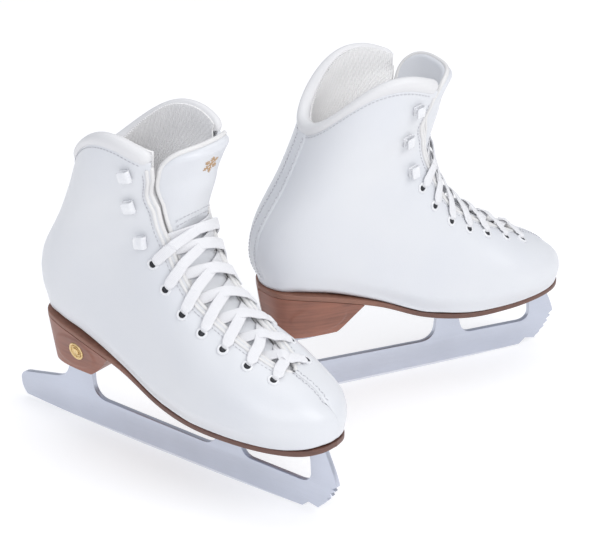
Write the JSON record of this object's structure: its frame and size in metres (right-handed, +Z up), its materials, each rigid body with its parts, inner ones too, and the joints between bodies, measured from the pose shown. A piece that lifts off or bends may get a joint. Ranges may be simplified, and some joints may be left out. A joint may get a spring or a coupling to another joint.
{
  "type": "pair of ice skates",
  "caption": "White leather figure skates: laced boots with padded collars on brown stacked heels and steel blades with toe picks.",
  "frame": {"origin": "on the ice plane, under the middle of the pair's bounding box", "axes": "+Z up; +X across the pair, from the heel of the right skate towards the toe of the left skate; +Y from the right skate's toe side back towards the left skate"},
  "size_m": [0.3952, 0.2962, 0.2461],
  "materials": {
    "white_leather": "smooth coated leather, soft gloss",
    "binding_leather": "smooth leather, turned over the edge and stitched",
    "lining_textile": "ribbed brushed textile, matte",
    "lace_weave": "flat herringbone weave, matte",
    "white_enamel": "white enamel on steel, soft gloss",
    "blade_steel": "satin ground sides with a polished band along the edge",
    "plate_steel": "satin",
    "heel_stack": "brown moulded heel, satin",
    "sole_edge": "burnished brown sole edge",
    "badge_gold": "satin gold",
    "insole_board": "pressed cellulose board, matte",
    "stiffener": "thermoplastic felt, matte"
  },
  "bodies": {
    "right_skate": {"right_blade": "blade_steel", "right_sole_plate": "plate_steel", "right_heel_plate": "plate_steel", "right_outsole": "sole_edge", "right_heel_block": "heel_stack", "right_heel_badge": "badge_gold", "right_insole_board": "insole_board", "right_footbed": "lining_textile", "right_outer_upper": "white_leather", "right_outer_lining": "lining_textile", "right_outer_facing_binding": "binding_leather", "right_outer_eyelet_row": "white_enamel", "right_outer_hook_1": "white_enamel", "right_outer_hook_2": "white_enamel", "right_outer_hook_3": "white_enamel", "right_inner_upper": "white_leather", "right_inner_lining": "lining_textile", "right_inner_facing_binding": "binding_leather", "right_inner_eyelet_row": "white_enamel", "right_inner_hook_1": "white_enamel", "right_inner_hook_2": "white_enamel", "right_inner_hook_3": "white_enamel", "right_toe_box": "stiffener", "right_heel_counter": "stiffener", "right_back_stay": "white_leather", "right_collar": "white_leather", "right_tongue_lower": "white_leather", "right_lace": "lace_weave"},
    "right_tongue": {"right_tongue_upper": "white_leather"},
    "left_skate": {"left_blade": "blade_steel", "left_sole_plate": "plate_steel", "left_heel_plate": "plate_steel", "left_outsole": "sole_edge", "left_heel_block": "heel_stack", "left_heel_badge": "badge_gold", "left_insole_board": "insole_board", "left_footbed": "lining_textile", "left_outer_upper": "white_leather", "left_outer_lining": "lining_textile", "left_outer_facing_binding": "binding_leather", "left_outer_eyelet_row": "white_enamel", "left_outer_hook_1": "white_enamel", "left_outer_hook_2": "white_enamel", "left_outer_hook_3": "white_enamel", "left_inner_upper": "white_leather", "left_inner_lining": "lining_textile", "left_inner_facing_binding": "binding_leather", "left_inner_eyelet_row": "white_enamel", "left_inner_hook_1": "white_enamel", "left_inner_hook_2": "white_enamel", "left_inner_hook_3": "white_enamel", "left_toe_box": "stiffener", "left_heel_counter": "stiffener", "left_back_stay": "white_leather", "left_collar": "white_leather", "left_tongue_lower": "white_leather", "left_lace": "lace_weave"},
    "left_tongue": {"left_tongue_upper": "white_leather"}
  },
  "joints": [
    {"name": "left_skate_apart", "type": "slide", "parent": "right_skate", "child": "left_skate", "axis": [0.6, 0.8, 0], "range_m": [0, 0.3]},
    {"name": "right_tongue_fold", "type": "hinge", "parent": "right_skate", "child": "right_tongue", "pos_m": [-0.06089, -0.0668, 0.1865], "axis": [0.6046, 0.7965, 0], "range_deg": [0, 40], "stiffness_Nm_per_rad": 0.4},
    {"name": "left_tongue_fold", "type": "hinge", "parent": "left_skate", "child": "left_tongue", "pos_m": [0.09286, 0.08062, 0.1865], "axis": [-0.4115, 0.9114, 0], "range_deg": [0, 40], "stiffness_Nm_per_rad": 0.4}
  ]
}
